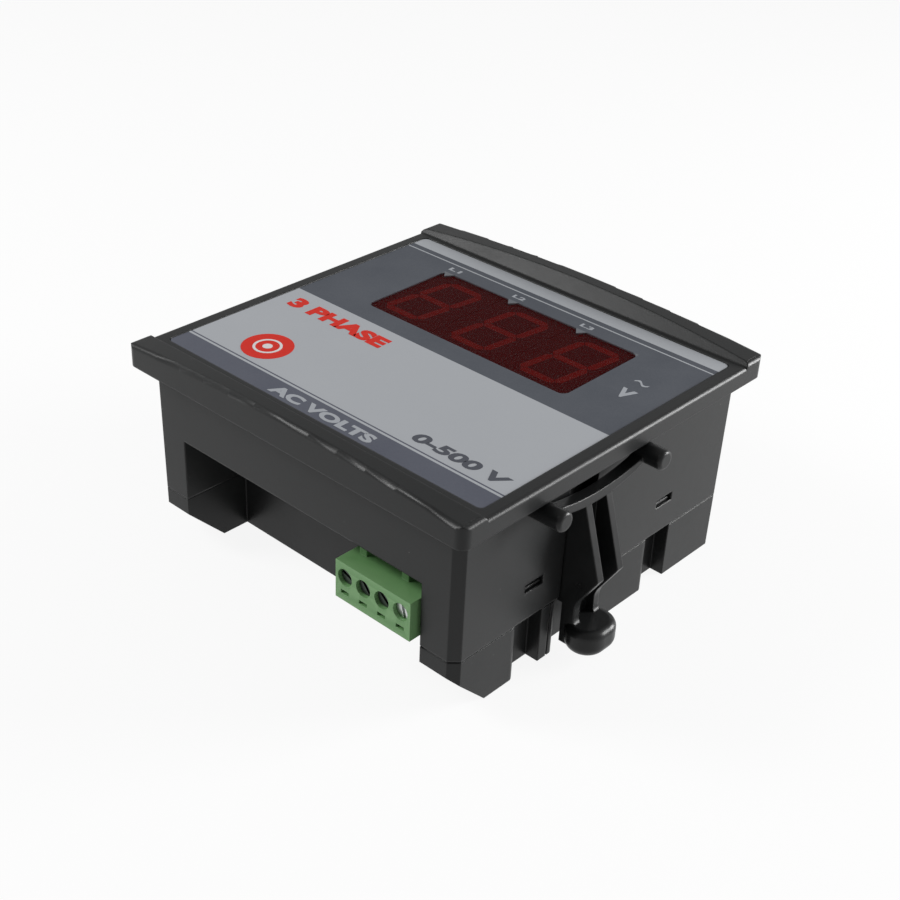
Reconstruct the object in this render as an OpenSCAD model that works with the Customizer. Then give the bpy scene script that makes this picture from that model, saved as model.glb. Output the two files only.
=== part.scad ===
// Digital panel meter with a square bezel, push-in mounting clips and a pluggable terminal block.
// X runs to the right of the face, Y up the face and Z out of it, in millimetres.
// The origin is the middle of the rear cover, which stands on Z = 0.

/* [Bezel] */
// Width of the bezel
bezel_w = 96; // [94:0.5:100]
// Height of the bezel
bezel_h = 96; // [94:0.5:100]
// Radius of the bezel's corners, seen from the front
bezel_r = 2.2; // [1:0.1:3]
// Thickness of the bezel at its two plain sides
flange_t = 4.2; // [3.6:0.1:5]
// Rounding of the bezel's outer top edges
edge_r = 1; // [0.4:0.1:1.6]
// Width of each arched ridge, from the bezel's edge to the foot of its inner slope
ridge_w = 6.6; // [5.5:0.1:8]
// Height of the ridges over the plain sides, at mid length
ridge_h = 2.9; // [2:0.1:4]
// Height of the ridges over the plain sides, at their ends
ridge_end_h = 0.8; // [0.4:0.1:1.4]

/* [Case] */
// Overhang of the bezel beyond the case, on all four sides
overhang = 3.55; // [3:0.05:4]
// Depth of the case, from the rear face to the back of the bezel
case_depth = 43.7; // [42:0.1:48]
// Height of the rear cover, up to the parting line
cover_h = 13.7; // [12:0.1:15]
// Draft of the case walls, in degrees
draft = 0.5; // [0.1:0.1:1]
// Width of the flat on each upright corner of the case
corner_c = 1.9; // [1:0.1:2.4]
// Size of the 45 degree slope along the bottom rear edge
heel_c = 9.5; // [6:0.1:11]
// Thickness of the moulded walls
wall = 2.2; // [1.8:0.1:2.4]
// Thickness of the face plate under the overlay
face_t = 2.45; // [2.2:0.05:2.8]
// Width and depth of the shadow groove along the parting line
parting_gap = 0.3; // [0.2:0.05:0.4]

/* [Terminal bay] */
// Distance of the bay's two ends from the sides of the case
bay_side = 9.3; // [8.5:0.1:10.4]
// Depth of the bay's roof below the back of the bezel
bay_roof = 15.2; // [14.4:0.1:15.6]
// Depth of the bay, from the case's bottom side
bay_depth = 16.7; // [16.2:0.1:18]

/* [Overlay and window] */
// Width of the plain rim beside the printed overlay
label_side = 3.3; // [3:0.1:4.5]
// Distance of the overlay's ends from the top and bottom edges of the bezel
label_end = 8.3; // [7.9:0.1:9]
// Radius of the overlay's corners
label_r = 1.3; // [0.5:0.1:2]
// Thickness of the overlay
label_t = 0.4; // [0.3:0.05:0.6]
// Depth of the overlay's face below the plain sides of the bezel
label_sink = 0.15; // [0.05:0.05:0.3]
// Width of the display window
window_w = 57; // [54:0.1:58]
// Height of the display window
window_h = 25.6; // [23:0.1:26.4]
// Radius of the window's corners
window_r = 1.8; // [1:0.1:3]
// Height of the window's middle over the face's middle
window_y = 16.4; // [15:0.1:18]
// Distance of the first phase pointer's tip, to the left of its display's middle
pointer_left = 7.1; // [6.5:0.1:8]
// Length of the pointers that reach into the window
pointer_l = 2; // [1.5:0.1:2.4]
// Width of the pointers at their root
pointer_w = 3; // [2:0.1:3.4]

/* [Displays] */
// Width of one display block
digit_w = 19.6; // [18:0.1:20]
// Height of one display block
digit_h = 27.8; // [26:0.1:28.4]
// Thickness of one display block
digit_t = 8; // [7:0.1:8.4]
// Distance between neighbouring display blocks
digit_pitch = 19.8; // [19.7:0.1:20.2]
// Height of a figure
figure_h = 20.8; // [18:0.1:22]
// Width of a figure
figure_w = 11.4; // [10:0.1:13]
// Width of a segment
segment_w = 1.9; // [1.4:0.1:2.4]
// Slant of the figures, in degrees
slant = 7; // [0:0.5:10]

/* [Boards] */
// Thickness of both circuit boards
board_t = 1.6; // [1.2:0.1:2]
// Gap between the circuit boards' edges and the walls and linings beside them
board_gap = 0.8; // [0.7:0.1:1.6]
// Height of the main board's underside over the rear face
main_z = 8; // [6:0.1:10]
// Distance of the board screws from the boards' side edges
screw_side = 3.5; // [3.2:0.1:4.6]
// Distance of the upper screws from the case's top side
screw_top = 8.45; // [7.5:0.05:9]
// Distance of the lower screws from the main board's lower edge
screw_low = 4.95; // [4:0.05:6.9]
// Distance of the pins that join the boards from the main board's lower edge
link_low = 2.75; // [2.2:0.05:3]
// Diameter of the board screws' shanks
screw_d = 2.5; // [2:0.1:2.8]
// Length of the board screws' shanks
screw_len = 7; // [6:0.1:7.4]

/* [Key] */
// Place of the key on the face, to the left of the middle
key_left = 28.2; // [26:0.1:30]
// Place of the key on the face, below the middle
key_down = 26.3; // [25:0.1:28]
// Diameter of the key's plunger
plunger_d = 3.5; // [3:0.1:4]
// Side of the key's square body
key_w = 6; // [5.5:0.1:6.5]
// Height of the key's body
key_h = 3.5; // [3:0.1:4]

/* [Terminals] */
// Distance between neighbouring poles
pole_pitch = 5.08; // [5:0.02:5.2]
// Gap between the plug's right side and the end of the bay
plug_side = 1.09; // [1:0.01:1.3]
// Distance of the screw face beyond the case's bottom side
plug_proud = 1.55; // [0.5:0.05:2]
// Depth of the plug, from its screw face to its back
plug_d = 15; // [14.8:0.1:15.4]
// Height of the plug's screw block
block_h = 9; // [8.8:0.1:9.4]
// Distance of the plug's underside from the back of the bezel
plug_down = 28.8; // [28.4:0.1:29.2]
// Height of the part of the plug that goes into the socket
mate_h = 9.2; // [8.6:0.1:9.4]
// Diameter of the screw holes
hole_d = 3.9; // [3.7:0.1:4.1]
// Diameter of the clamp screws' heads
head_d = 3.6; // [3.3:0.1:3.6]
// Diameter of the clamp screws' shanks
clamp_screw_d = 2.9; // [2.4:0.1:2.9]

/* [Clips] */
// Distance of the clips' middle below the middle of the case
clip_down = 8.4; // [7:0.1:9]
// Width of a clip's stem
stem_w = 8.2; // [7.4:0.1:8.6]
// Thickness of a clip's two side ribs
rib_t = 1.8; // [1.4:0.1:2.2]
// Thickness of a clip's web, between the ribs
web_t = 1.4; // [1.2:0.1:1.8]
// Rounding of the channel's mouth in the rear cover, where the clip slides in
mouth_r = 2; // [1:0.1:2.2]
// Diameter of the two finger pegs
peg_d = 4.4; // [3.6:0.1:4.6]
// Reach of the pegs beyond the case
peg_reach = 8; // [7:0.1:9]
// Distance between the two pegs
peg_span = 31.4; // [29:0.1:33]
// Reach of the ribs' knees beyond the case
knee_reach = 8.6; // [7:0.1:9]
// Height of the ribs' knees over the rear face
knee_z = 21.5; // [20:0.1:24]
// Reach of the thumb pad beyond the case
tab_reach = 9.7; // [8.5:0.1:11]
// Width of the thumb pad
tab_w = 11.4; // [10.4:0.1:12]
// Thickness of the thumb pad
tab_t = 6.3; // [5.5:0.1:7]
// Height of the thumb pad's underside over the rear face
tab_z = 2.2; // [2:0.1:4]

/* [Snaps] */
// Distance of the snap tongues from the middle of the case
snap_y = 21.6; // [21.2:0.1:23]
// Width of a snap window
snap_w = 5.6; // [5:0.1:6]
// Height of a snap window
snap_h = 2.1; // [1.8:0.1:2.6]
// Height of the windows' lower edge over the rear face
snap_z = 20.4; // [19:0.1:22]
// Width of the upright pocket below each snap window
pocket_w = 6.9; // [6.4:0.1:7.2]
// Depth of the upright pockets
pocket_d = 3.2; // [2.6:0.1:3.4]
// Rounding of the pockets' lower upright edge
pocket_r = 2.2; // [1:0.1:2.4]

/* [Clearances] */
// Gap between pieces that slide on each other
slide_gap = 0.3; // [0.2:0.05:0.4]
// Gap round pieces that are set into a pocket
seat_gap = 0.15; // [0.1:0.05:0.2]
// Gap round a screw's shank in its hole
thread_gap = 0.05; // [0.02:0.01:0.1]

/* [Hidden] */
$fn = 48;
// Length by which a cutter runs past the face that it cuts
over = 1;
poles = 4;
half_w = bezel_w / 2 - overhang;
half_h = bezel_h / 2 - overhang;
rim_z = case_depth + flange_t;
label_w = bezel_w - 2 * label_side;
label_h = bezel_h - 2 * label_end;
bay_w = 2 * (half_w - bay_side);
bay_top = case_depth - bay_roof;
plug_z = case_depth - plug_down;
label_top = rim_z - label_sink;
face_top = label_top - label_t;
face_z = face_top - face_t;
// Radius of the ridges' arch, from its rise over half the bezel
arch_rise = ridge_h - ridge_end_h;
arch_r = (bezel_w * bezel_w / 4 + arch_rise * arch_rise) / (2 * arch_rise);
arch_z = rim_z + ridge_h - arch_r;
// The red film lies in the overlay's window, right on top of the displays
film_t = label_t - 0.05;
film_gap = 0.05;
digit_top = face_top - film_gap;
board_top = digit_top - digit_t;
board_z = board_top - board_t;
main_top = main_z + board_t;
// Terminal bay: the bay's back wall, its lining and the opening for the socket
bay_y = -half_h + bay_depth;
bay_wall = 2;
// Main board's lower edge, over the bay's lining
main_low = bay_y + bay_wall + board_gap;
screw_low_y = main_low + screw_low;
screw_top_y = half_h - screw_top;
// Clip channel: a T slot in each side of the case, with ratchet teeth on its floor
lip_t = 1.25;
foot_t = 1.6;
wing_w = 2.6;
channel_y = -clip_down;
mouth_w = stem_w + 2 * slide_gap;
channel_w = stem_w + 2 * wing_w + 2 * slide_gap;
foot_x = half_w - lip_t - slide_gap - foot_t;
channel_x = foot_x - slide_gap;
channel_wall = 1.5;
board_w = 2 * (channel_x - channel_wall - board_gap);
screw_x = board_w / 2 - screw_side;
channel_top = case_depth - 1.3;
teeth_top = case_depth - 9.2;
tooth_h = 0.6;
tooth_pitch = 1;
foot_z = 12.5;
foot_top = teeth_top - 1.2;
// Thumb pad: radius of its round ends in plan, and the underside of the neck that carries it
pad_r = 4.6;
neck_z = tab_z + 0.6;
// Plug and socket
screw_face = -half_h - plug_proud;
plug_w = poles * pole_pitch + 0.2;
plug_x = bay_w / 2 - plug_side - plug_w / 2;
block_top = plug_z + block_h;
plug_back = screw_face + plug_d;
mate_side = 0.5;
mate_step = 6.8;
mate_front = screw_face + mate_step;
mate_back = plug_back - 0.2;
mate_top = block_top + mate_h;
hole_down = 3.3;
hole_z = block_top - hole_down;
pin_y = (mate_front + mate_back) / 2;
pin_w = 1;
socket_wall = 1;
socket_lift = 2.2;
socket_z = block_top + socket_lift;
socket_base = 3;
key_rib_w = 1.9;
key_rib_t = 2;
key_rib_top = bay_top - 0.5;
socket_w = plug_w - 2 * mate_side + 2 * (slide_gap + socket_wall);
socket_front = mate_front - slide_gap - socket_wall;
socket_back = mate_back + slide_gap + socket_wall;
// Clamp screw: sunk in its hole, on a ledge over the chamber of the cage
head_sink = 0.9;
head_t = 1.5;
ledge_t = 0.6;
ledge_y = screw_face + head_sink + head_t;
chamber_y = ledge_y + ledge_t;
chamber_w = 4.4;
chamber_l = 5.2;
cage_wall = 1.2;
cage_travel = 2;
cage_y = chamber_y + cage_travel + slide_gap;
tongue_gap = 1.8;
tongue_y = cage_y + cage_wall + tongue_gap;
tongue_t = 0.8;
wire_gap = 2.5;
cage_back = tongue_y + tongue_t + wire_gap + 0.9;
contact_w = 2.6;

function case_half(half, z) = half - (case_depth - z) * tan(draft);
function pole_x(i) = plug_x + (i - (poles - 1) / 2) * pole_pitch;

// A box between two corners
module block(from, to) {
    translate(from) cube(to - from);
}

// A flat rectangle with true round corners
module round_rect(w, h, r) {
    square([w - 2 * r, h], center = true);
    square([w, h - 2 * r], center = true);
    for (sx = [-1, 1], sy = [-1, 1])
        translate([sx * (w / 2 - r), sy * (h / 2 - r)]) circle(r);
}

// A wedge-sided prism of the case's draft, long enough to be cut by the others
module draft_prism(bottom, top) {
    rotate([90, 0, 0])
        linear_extrude(height = 2 * bezel_w, center = true)
            polygon([[-bottom, 0], [bottom, 0], [top, case_depth], [-top, case_depth]]);
}

// The outer form of the case: four drafted sides and four flats on the upright corners
module case_form(inset = 0) {
    low_w = case_half(half_w, 0) - inset;
    low_h = case_half(half_h, 0) - inset;
    top_w = half_w - inset;
    top_h = half_h - inset;
    intersection() {
        draft_prism(low_w, top_w);
        rotate([0, 0, 90]) draft_prism(low_h, top_h);
        rotate([0, 0, 45])
            draft_prism((low_w + low_h - corner_c) / sqrt(2), (top_w + top_h - corner_c) / sqrt(2));
        rotate([0, 0, -45])
            draft_prism((low_w + low_h - corner_c) / sqrt(2), (top_w + top_h - corner_c) / sqrt(2));
    }
}

// What lies outside the slope along the bottom rear edge, or up to a depth behind that slope
module heel_cut(depth) {
    low_h = case_half(half_h, 0);
    reach = heel_c + over + depth * sqrt(2);
    rotate([90, 0, 90])
        linear_extrude(height = 2 * bezel_w, center = true)
            polygon([[-low_h - over, reach], [-low_h - over, -over], [-low_h + reach, -over]]);
}

// The space of the terminal bay, or with a lining the solid that holds it
module bay(lining) {
    block([-bay_w / 2 - lining, -bezel_h, -over],
          [bay_w / 2 + lining, bay_y + lining, bay_top + lining]);
}

// The T slot of one clip, cut into the right side of the case
module channel_cut() {
    translate([0, channel_y, 0]) {
        block([channel_x, -channel_w / 2, -over], [half_w - lip_t, channel_w / 2, channel_top]);
        block([channel_x, -mouth_w / 2, -over], [half_w + over, mouth_w / 2, channel_top]);
    }
}

// The solid that holds the T slot inside the case, with a gap round it where asked
module channel_form(gap) {
    translate([0, channel_y, 0])
        block([channel_x - channel_wall - gap, -channel_w / 2 - channel_wall - gap, -over],
              [half_w, channel_w / 2 + channel_wall + gap, face_z + over]);
}

// Ratchet teeth on the floor of the T slot: flat on the side that holds the clip up
module channel_teeth() {
    first = cover_h + 1.3;
    count = floor((teeth_top - first) / tooth_pitch);
    translate([0, channel_y, 0])
        rotate([90, 0, 0])
            linear_extrude(height = stem_w - 2 * rib_t - 2 * slide_gap, center = true)
                for (i = [0 : count - 1])
                    translate([channel_x, first + i * tooth_pitch])
                        polygon([[-0.1, 0], [0, 0], [tooth_h, tooth_pitch * 0.8], [0, tooth_pitch * 0.8],
                                 [-0.1, tooth_pitch * 0.8]]);
}

module both_sides() {
    children();
    mirror([1, 0, 0]) children();
}

module at_screws() {
    for (x = [-screw_x, screw_x], y = [screw_low_y, screw_top_y])
        translate([x, y, 0]) children();
}

// Concave cutters that round the outer top edges of the bezel
module edge_profile() {
    difference() {
        square(edge_r + over);
        circle(edge_r);
    }
}

module side_edge_cut() {
    translate([bezel_w / 2 - edge_r, 0, rim_z - edge_r])
        rotate([90, 0, 0])
            linear_extrude(height = bezel_h - 2 * ridge_w + 0.02, center = true) edge_profile();
}

// The ridge's end faces keep the same rounding, at their own height
module ridge_end_cut() {
    for (side = [-1, 1])
        translate([bezel_w / 2 - edge_r, side * (bezel_h / 2 - ridge_w / 2), rim_z + ridge_end_h - edge_r])
            rotate([90, 0, 0])
                linear_extrude(height = ridge_w + over, center = true) edge_profile();
}

module ridge_edge_cut() {
    translate([0, bezel_h / 2 - edge_r, arch_z])
        rotate([-90, 0, 0])
            rotate_extrude($fn = 360)
                translate([arch_r - edge_r, 0]) edge_profile();
}

// One arched ridge: a prism with a sloped inner side, topped by a long arch
module ridge() {
    foot = bezel_h / 2 - ridge_w;
    high = ridge_h + over;
    intersection() {
        rotate([90, 0, 90])
            linear_extrude(height = bezel_w, center = true)
                polygon([[foot, 0], [bezel_h / 2, 0], [bezel_h / 2, rim_z + high],
                         [foot + high, rim_z + high], [foot, rim_z]]);
        translate([0, 0, arch_z])
            rotate([90, 0, 0]) cylinder(r = arch_r, h = 2 * bezel_h, center = true, $fn = 360);
        linear_extrude(height = rim_z + high) round_rect(bezel_w, bezel_h, bezel_r);
        block([-bezel_w, 0, case_depth], [bezel_w, bezel_h, rim_z + high]);
    }
}

module bezel() {
    difference() {
        union() {
            translate([0, 0, case_depth])
                linear_extrude(height = flange_t) round_rect(bezel_w, bezel_h, bezel_r);
            ridge();
            mirror([0, 1, 0]) ridge();
        }
        both_sides() side_edge_cut();
        both_sides() ridge_end_cut();
        ridge_edge_cut();
        mirror([0, 1, 0]) ridge_edge_cut();
    }
}

// The hollow inside both shells, less the linings, the channels and the screw posts
module hollow(bottom, top) {
    inner_w = case_half(half_w, 0) - wall;
    inner_h = case_half(half_h, 0) - wall;
    difference() {
        block([-inner_w, -inner_h, bottom], [inner_w, inner_h, top]);
        bay(bay_wall);
        heel_cut(wall);
        both_sides() channel_form(0);
    }
}

module front_housing() {
    post_d = 6;
    hole = screw_d + 2 * thread_gap;
    inner_w = case_half(half_w, 0) - wall;
    color("#2a2c2d")
    difference() {
        union() {
            difference() {
                union() {
                    intersection() {
                        case_form();
                        block([-bezel_w, -bezel_h, cover_h], [bezel_w, bezel_h, case_depth]);
                    }
                    bezel();
                }
                hollow(cover_h - over, face_z);
                both_sides() channel_cut();
            }
            both_sides() intersection() {
                channel_teeth();
                block([0, -bezel_h, cover_h], [bezel_w, bezel_h, channel_top]);
            }
            // Posts under the face plate that the display board is screwed to
            at_screws() translate([0, 0, board_top]) cylinder(d = post_d, h = face_z - board_top + 0.5);
        }
        bay(0);
        // Pocket for the overlay
        translate([0, 0, face_top])
            linear_extrude(height = 2 * flange_t)
                round_rect(label_w + 2 * seat_gap, label_h + 2 * seat_gap, label_r);
        // Opening for the three displays
        translate([0, window_y, face_z])
            block([-digit_pitch - digit_w / 2 - 2 * seat_gap, -digit_h / 2 - 2 * seat_gap, -over],
                  [digit_pitch + digit_w / 2 + 2 * seat_gap, digit_h / 2 + 2 * seat_gap, 2 * face_t]);
        translate([-key_left, -key_down, face_z - over])
            cylinder(d = plunger_d + 2 * slide_gap, h = 2 * face_t + over);
        at_screws() translate([0, 0, board_top - over]) cylinder(d = hole, h = screw_len + over);
        // Opening in the roof of the bay for the socket
        block([plug_x - socket_w / 2 - slide_gap, socket_front - slide_gap, bay_top - over],
              [plug_x + socket_w / 2 + slide_gap, socket_back + slide_gap, bay_top + bay_wall + over]);
        // Windows for the snap tongues
        both_sides() for (side = [-1, 1])
            translate([0, side * snap_y, snap_z])
                block([inner_w - over, -snap_w / 2, 0], [bezel_w, snap_w / 2, snap_h]);
    }
}

// Snap tongue: stands up from a pocket's floor and hooks into the window
module snap_tongue() {
    back = case_half(half_w, 0) - pocket_d - 1.6;
    front = back + 1.6;
    nib = case_half(half_w, snap_z) - 0.6;
    width = snap_w - 4 * seat_gap;
    rotate([90, 0, 0])
        linear_extrude(height = width, center = true)
            polygon([[back, cover_h - 2], [front, cover_h - 2], [front, snap_z + seat_gap],
                     [nib, snap_z + seat_gap], [nib, snap_z + 0.7],
                     [front, snap_z + snap_h - seat_gap], [back, snap_z + snap_h]]);
}

// Lip inside the parting line that centres the front housing on the cover
module locating_lip() {
    lip_h = 1.6;
    thick = 1.2;
    root = 2;
    inner_w = case_half(half_w, 0) - wall;
    inner_h = case_half(half_h, 0) - wall;
    difference() {
        union() {
            block([-inner_w - 0.3, -inner_h - 0.3, cover_h - root], [inner_w + 0.3, inner_h + 0.3, cover_h]);
            block([-inner_w + seat_gap, -inner_h + seat_gap, cover_h - root],
                  [inner_w - seat_gap, inner_h - seat_gap, cover_h + lip_h]);
        }
        block([-inner_w + thick + seat_gap, -inner_h + thick + seat_gap, cover_h - root - over],
              [inner_w - thick - seat_gap, inner_h - thick - seat_gap, cover_h + lip_h + over]);
        bay(bay_wall + seat_gap);
        both_sides() channel_form(seat_gap);
        both_sides() for (side = [-1, 1])
            translate([0, side * snap_y, 0])
                block([inner_w - 2 * thick, -pocket_w / 2, 0], [bezel_w, pocket_w / 2, bezel_h]);
    }
}

// What is cut off outside a rounded corner that points to +X and -Y, seen from the rounding's centre
module corner_profile(r) {
    difference() {
        translate([0, -r - over]) square(r + over);
        circle(r);
    }
}

// Plan of one pocket: a sharp upper wall, and a lower wall that rounds over into the side
module pocket_outline() {
    back = case_half(half_w, 0) - pocket_d;
    translate([back, -pocket_w / 2]) square([bezel_w - back, pocket_w]);
    translate([case_half(half_w, cover_h / 2) - pocket_r, -pocket_w / 2 - pocket_r])
        mirror([0, 1]) corner_profile(pocket_r);
}

module rear_cover() {
    floor_t = 2.2;
    post_d = 6;
    hole = screw_d + 2 * thread_gap;
    low_w = case_half(half_w, 0);
    groove = 0.4;
    color("#26282a")
    difference() {
        union() {
            difference() {
                union() {
                    intersection() {
                        case_form();
                        block([-bezel_w, -bezel_h, 0], [bezel_w, bezel_h, cover_h - parting_gap]);
                    }
                    // The top of the walls stands back, which leaves a groove along the parting line
                    intersection() {
                        case_form(parting_gap);
                        block([-bezel_w, -bezel_h, cover_h - 1], [bezel_w, bezel_h, cover_h]);
                    }
                }
                difference() {
                    hollow(floor_t, cover_h + over);
                    // Walls behind the pockets
                    both_sides() for (side = [-1, 1])
                        translate([0, side * snap_y, 0])
                            block([low_w - pocket_d - 1.6, -pocket_w / 2 - 1.6, 0],
                                  [bezel_w, pocket_w / 2 + 1.6, cover_h]);
                }
            }
            // Posts that the main board stands on
            at_screws() translate([0, 0, floor_t - 0.5]) cylinder(d = post_d, h = main_z - floor_t + 0.5);
            both_sides() for (side = [-1, 1]) translate([0, side * snap_y, 0]) snap_tongue();
            locating_lip();
        }
        bay(0);
        heel_cut(0);
        both_sides() channel_cut();
        // Upright pockets in both sides, open at the rear
        both_sides() for (side = [-1, 1])
            translate([0, side * snap_y, -over])
                linear_extrude(height = cover_h + 2 * over) pocket_outline();
        // Rounded edges of the mouth of the clip channels
        both_sides() for (side = [-1, 1])
            translate([0, channel_y, -over]) mirror([0, side < 0 ? 1 : 0, 0])
                linear_extrude(height = cover_h + 2 * over)
                    translate([case_half(half_w, cover_h / 2) - mouth_r, mouth_w / 2 + mouth_r])
                        corner_profile(mouth_r);
        // Fine grooves along both edges of the clip channels
        both_sides() for (side = [-1, 1])
            translate([0, channel_y + side * (channel_w / 2), 0])
                block([low_w - groove, -groove / 2, -over], [bezel_w, groove / 2, cover_h + over]);
        at_screws() translate([0, 0, main_top - screw_len]) cylinder(d = hole, h = screw_len + over);
    }
}

// Outline of the window: a rounded rectangle, less three pointers that reach down from its top edge
module window_outline(gap) {
    top = window_h / 2 + over;
    side = pointer_w / (2 * pointer_l);
    reach = pointer_l + over + gap * sqrt(1 + 1 / (side * side));
    difference() {
        round_rect(window_w - 2 * gap, window_h - 2 * gap, window_r - gap);
        for (i = [-1 : 1])
            translate([i * digit_pitch - pointer_left, top])
                polygon([[-reach * side, 0], [0, -reach], [reach * side, 0]]);
    }
}

module face_label() {
    color("#a9acb0")
    translate([0, 0, face_top])
        difference() {
            linear_extrude(height = label_t) round_rect(label_w, label_h, label_r);
            translate([0, window_y, -over])
                linear_extrude(height = label_t + 2 * over) window_outline(0);
        }
}

module red_filter() {
    color("#4a1012")
    translate([0, window_y, face_top])
        linear_extrude(height = film_t) window_outline(seat_gap);
}

// One segment lying along X, with pointed ends
module segment(length) {
    point = segment_w / 2;
    polygon([[-length / 2, 0], [-length / 2 + point, point], [length / 2 - point, point],
             [length / 2, 0], [length / 2 - point, -point], [-length / 2 + point, -point]]);
}

// The seven segments of a slanted figure, seen from the front
module figure_outline() {
    gap = 0.25;
    across = figure_w - segment_w;
    up = (figure_h - segment_w) / 2;
    multmatrix([[1, tan(slant), 0, 0], [0, 1, 0, 0], [0, 0, 1, 0], [0, 0, 0, 1]]) {
        for (level = [-1, 0, 1])
            translate([0, level * up]) segment(across - gap);
        for (level = [-0.5, 0.5], side = [-1, 1])
            translate([side * across / 2, level * up]) rotate(90) segment(up - gap);
    }
}

segment_t = 0.6;

module display_block(i) {
    color("#3a1416")
    translate([i * digit_pitch, window_y, 0])
        difference() {
            block([-digit_w / 2, -digit_h / 2, board_top], [digit_w / 2, digit_h / 2, digit_top]);
            translate([0, 0, digit_top - segment_t])
                linear_extrude(height = segment_t + over) figure_outline();
        }
}

module segment_set(i) {
    color("#9c1d18")
    translate([i * digit_pitch, window_y, digit_top - segment_t])
        linear_extrude(height = segment_t) figure_outline();
}

module display_1() { display_block(-1); }
module display_2() { display_block(0); }
module display_3() { display_block(1); }
module segments_1() { segment_set(-1); }
module segments_2() { segment_set(0); }
module segments_3() { segment_set(1); }

// Place and number of the pins that join the two boards
link_count = 8;
link_pitch = 2.54;
link_y = main_low + link_low;
link_w = 0.64;
link_hole_d = 1;
function link_x(i) = -8 + (i - (link_count - 1) / 2) * link_pitch;

module screw_holes(z) {
    at_screws() translate([0, 0, z - over])
        cylinder(d = screw_d + 0.5, h = board_t + 2 * over);
}

module link_holes(z) {
    for (i = [0 : link_count - 1])
        translate([link_x(i), link_y, z - over]) cylinder(d = link_hole_d, h = board_t + 2 * over);
}

module display_board() {
    inner_h = case_half(half_h, 0) - wall;
    color("#1f5c3a")
    difference() {
        block([-board_w / 2, -inner_h + board_gap, board_z], [board_w / 2, inner_h - board_gap, board_top]);
        screw_holes(board_z);
        link_holes(board_z);
        for (i = [0 : poles - 1])
            translate([pole_x(i), pin_y, board_z - over]) cylinder(d = pin_w * 1.5, h = board_t + 2 * over);
    }
}

// Controller under the display board: its body, and two rows of leads that stand off the board
chip_w = 7.5;
chip_l = 15.4;
chip_t = 2.3;
chip_down = 2;
chip_off = 0.15;
chip_leads = 11;
chip_pitch = 1.27;
chip_lead_w = 0.4;
chip_lead_l = 1.8;
chip_lead_t = 1.25;
chip_lead_out = 0.5;

module controller_chip() {
    color("#202020")
    translate([-0.2 * board_w, -chip_down, board_z - chip_t - chip_off]) {
        block([-chip_w / 2, -chip_l / 2, 0], [chip_w / 2, chip_l / 2, chip_t]);
        for (side = [-1, 1], i = [0 : chip_leads - 1])
            translate([side * (chip_w / 2 + chip_lead_out), (i - (chip_leads - 1) / 2) * chip_pitch,
                       chip_t + chip_off - chip_lead_t])
                block([-chip_lead_l / 2, -chip_lead_w / 2, 0], [chip_lead_l / 2, chip_lead_w / 2, chip_lead_t]);
    }
}

plunger_gap = 0.1;
plunger_seat = 1.2;

module key_switch() {
    color("#303236")
    translate([-key_left, -key_down, board_top])
        difference() {
            block([-key_w / 2, -key_w / 2, 0], [key_w / 2, key_w / 2, key_h]);
            translate([0, 0, key_h - plunger_seat]) cylinder(d = plunger_d + 2 * slide_gap, h = plunger_seat + over);
        }
}

module key_plunger() {
    color("#17181a")
    translate([-key_left, -key_down, board_top + key_h - plunger_seat + slide_gap])
        cylinder(d = plunger_d, h = face_top - plunger_gap - board_top - key_h + plunger_seat - slide_gap);
}

// Socket on the display board: open towards the rear, with slots for the plug's ribs
module terminal_header() {
    color("#4e9a55")
    difference() {
        block([plug_x - socket_w / 2, socket_front, socket_z], [plug_x + socket_w / 2, socket_back, board_z]);
        block([plug_x - socket_w / 2 + socket_wall, socket_front + socket_wall, socket_z - over],
              [plug_x + socket_w / 2 - socket_wall, socket_back - socket_wall, mate_top + slide_gap]);
        for (x = rib_places())
            block([x - key_rib_w / 2 - slide_gap, socket_front - over, socket_z - over],
                  [x + key_rib_w / 2 + slide_gap, socket_front + 2 * socket_wall, key_rib_top + slide_gap]);
        for (i = [0 : poles - 1])
            translate([pole_x(i), pin_y, board_z - socket_base - over])
                block([-pin_w / 2 - thread_gap, -pin_w / 2 - thread_gap, -over],
                      [pin_w / 2 + thread_gap, pin_w / 2 + thread_gap, socket_base + 2 * over]);
    }
}

function rib_places() = [pole_x(0) + 0.2, pole_x(2) + 1.6];

module header_pins() {
    color("#c8c8c4")
    for (i = [0 : poles - 1])
        translate([pole_x(i), pin_y, 0])
            block([-pin_w / 2, -pin_w / 2, block_top + 1.8], [pin_w / 2, pin_w / 2, board_top + 1.2]);
}

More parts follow.
